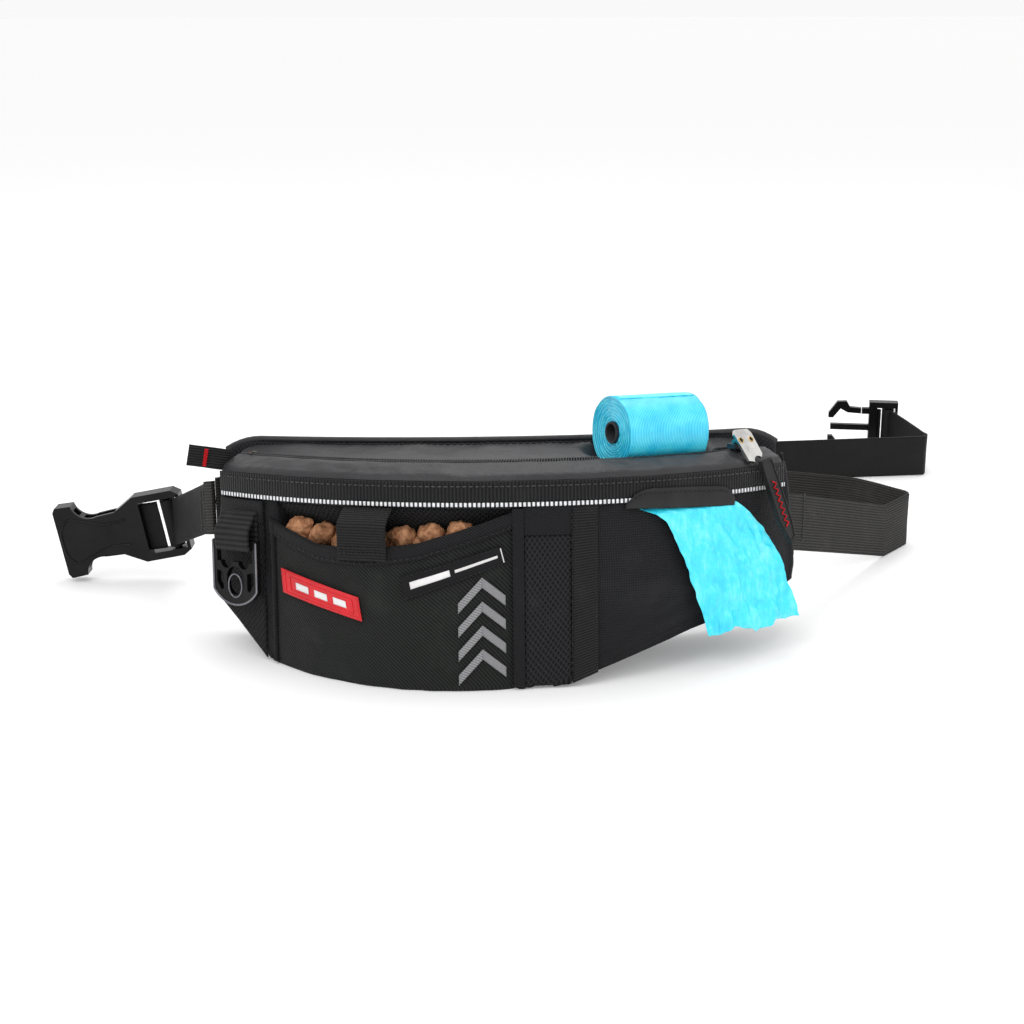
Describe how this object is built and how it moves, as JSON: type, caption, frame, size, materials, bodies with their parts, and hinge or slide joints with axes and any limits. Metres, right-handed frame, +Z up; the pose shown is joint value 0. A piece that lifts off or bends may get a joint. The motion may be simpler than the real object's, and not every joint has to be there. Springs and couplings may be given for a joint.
{
  "type": "treat pouch",
  "caption": "Waist-worn curved zip pouch with a treat pocket, bag dispenser, accessory ring and an adjustable belt with a side-release buckle.",
  "frame": {"origin": "on the floor under the middle of the bag, on its flat base", "axes": "+X to the viewer right along the bag, -Y the front of the bag, +Z up"},
  "size_m": [0.6671, 0.5207, 0.157],
  "materials": {
    "coated_fabric": "satin",
    "body_fabric": "matte",
    "back_padding": "matte",
    "mesh_fabric": "matte",
    "twill_tape": "matte",
    "ribbed_tape": "matte",
    "reflective": "satin",
    "zip_coil": "satin",
    "chrome_metal": "polished",
    "black_rubber": "matte",
    "red_rubber": "satin",
    "label_weave": "satin",
    "kibble": "matte",
    "bag_film": "gloss",
    "core_card": "matte",
    "elastic": "matte",
    "webbing": "matte",
    "black_plastic": "gloss"
  },
  "bodies": {
    "pouch": {"rear_lip": "coated_fabric", "front_zip_tape": "coated_fabric", "front_shell": "body_fabric", "base_panel": "body_fabric", "left_gusset": "body_fabric", "right_gusset": "body_fabric", "treat_pocket": "body_fabric", "back_panel": "back_padding", "pocket_liner": "mesh_fabric", "side_panel": "mesh_fabric", "mesh_pocket": "mesh_fabric", "pocket_binding": "twill_tape", "side_band": "twill_tape", "mesh_pocket_band": "twill_tape", "side_piping": "twill_tape", "gusset_strip": "twill_tape", "ribbed_band": "ribbed_tape", "ribbed_tape": "ribbed_tape", "ring_loop": "ribbed_tape", "reflective_piping": "reflective", "reflective_print": "reflective", "front_zip_coil": "zip_coil", "rear_zip_coil": "zip_coil", "zip_stops": "chrome_metal", "dispenser_patch": "black_rubber", "zip_end_tab": "black_rubber", "rubber_label": "red_rubber", "woven_label": "label_weave", "kibble": "kibble", "bag_tail": "bag_film"},
    "slider": {"zip_slider": "chrome_metal"},
    "puller": {"puller_plate": "chrome_metal"},
    "tab": {"pull_tab": "black_rubber"},
    "closure": {"closure_tab": "twill_tape"},
    "ring": {"accessory_ring": "black_plastic"},
    "zip_roll_core": {"roll_core": "core_card"},
    "zip_roll": {"bag_roll": "bag_film"},
    "inner_roll": {"feed_roll": "bag_film", "feed_core": "core_card"},
    "left_belt": {"left_elastic": "elastic", "left_webbing": "webbing"},
    "socket_buckle": {"female_buckle": "black_plastic"},
    "right_belt": {"right_elastic": "elastic", "right_webbing": "webbing"},
    "plug_buckle": {"male_buckle": "black_plastic"},
    "plug_prong_top": {"upper_prong": "black_plastic"},
    "plug_prong_bottom": {"lower_prong": "black_plastic"}
  },
  "joints": [
    {"name": "zip_travel", "type": "hinge", "parent": "pouch", "child": "slider", "pos_m": [0, 0.21314, 0.0928], "axis": [0, 0.1564, 0.9877], "range_deg": [-80, 0]},
    {"name": "puller_lift", "type": "hinge", "parent": "slider", "child": "puller", "pos_m": [0.13669, 0.04727, 0.12454], "axis": [0.7771, 0.6216, -0.0984], "range_deg": [-70, 0]},
    {"name": "tab_swing", "type": "hinge", "parent": "puller", "child": "tab", "pos_m": [0.14973, 0.03523, 0.11592], "axis": [0.7771, 0.6216, -0.0984], "range_deg": [-40, 0]},
    {"name": "closure_lift", "type": "hinge", "parent": "pouch", "child": "closure", "pos_m": [-0.08889, -0.00177, 0.10092], "axis": [0.9232, -0.3796, 0.0601], "range_deg": [-75, 0]},
    {"name": "ring_swing", "type": "hinge", "parent": "pouch", "child": "ring", "pos_m": [-0.1685, 0.03834, 0.06885], "axis": [0.788, -0.6081, 0.0963], "range_deg": [-80, 2]},
    {"name": "roll_lift", "type": "slide", "parent": "pouch", "child": "zip_roll_core", "axis": [0, 0.1564, 0.9877], "range_m": [0, 0.05]},
    {"name": "roll_spin", "type": "hinge", "parent": "zip_roll_core", "child": "zip_roll", "pos_m": [0.082, 0.04419, 0.13323], "axis": [0.91, 0.4096, -0.0649], "continuous": true},
    {"name": "inner_roll_spin", "type": "hinge", "parent": "pouch", "child": "inner_roll", "pos_m": [0.084, 0.02134, 0.04522], "axis": [0.9135, 0.4017, -0.0636], "continuous": true},
    {"name": "left_belt_swing", "type": "hinge", "parent": "pouch", "child": "left_belt", "pos_m": [-0.1875, 0.087, 0.075], "axis": [0, 0, 1], "range_deg": [-15, 15]},
    {"name": "socket_turn", "type": "hinge", "parent": "left_belt", "child": "socket_buckle", "pos_m": [-0.223, 0.176, 0.0415], "axis": [-0.1901, 0.0166, 0.9816], "range_deg": [0, 50]},
    {"name": "right_belt_swing", "type": "hinge", "parent": "pouch", "child": "right_belt", "pos_m": [0.181, 0.088, 0.06], "axis": [0, 0, 1], "range_deg": [-12, 12]},
    {"name": "plug_turn", "type": "hinge", "parent": "right_belt", "child": "plug_buckle", "pos_m": [0.3505, 0.471, 0.023], "axis": [0, 0, 1], "range_deg": [-5, 50]},
    {"name": "prong_top_squeeze", "type": "hinge", "parent": "plug_buckle", "child": "plug_prong_top", "pos_m": [0.32839, 0.4757, 0.0375], "axis": [-0.208, -0.9781, 0], "range_deg": [0, 7], "stiffness_Nm_per_rad": 0.5},
    {"name": "prong_bottom_squeeze", "type": "hinge", "parent": "plug_buckle", "child": "plug_prong_bottom", "pos_m": [0.32839, 0.4757, 0.0085], "axis": [-0.208, -0.9781, 0], "range_deg": [-7, 0], "stiffness_Nm_per_rad": 0.5}
  ],
  "couplings": [
    {"joint": "prong_bottom_squeeze", "follows": "prong_top_squeeze", "ratio": -1}
  ]
}
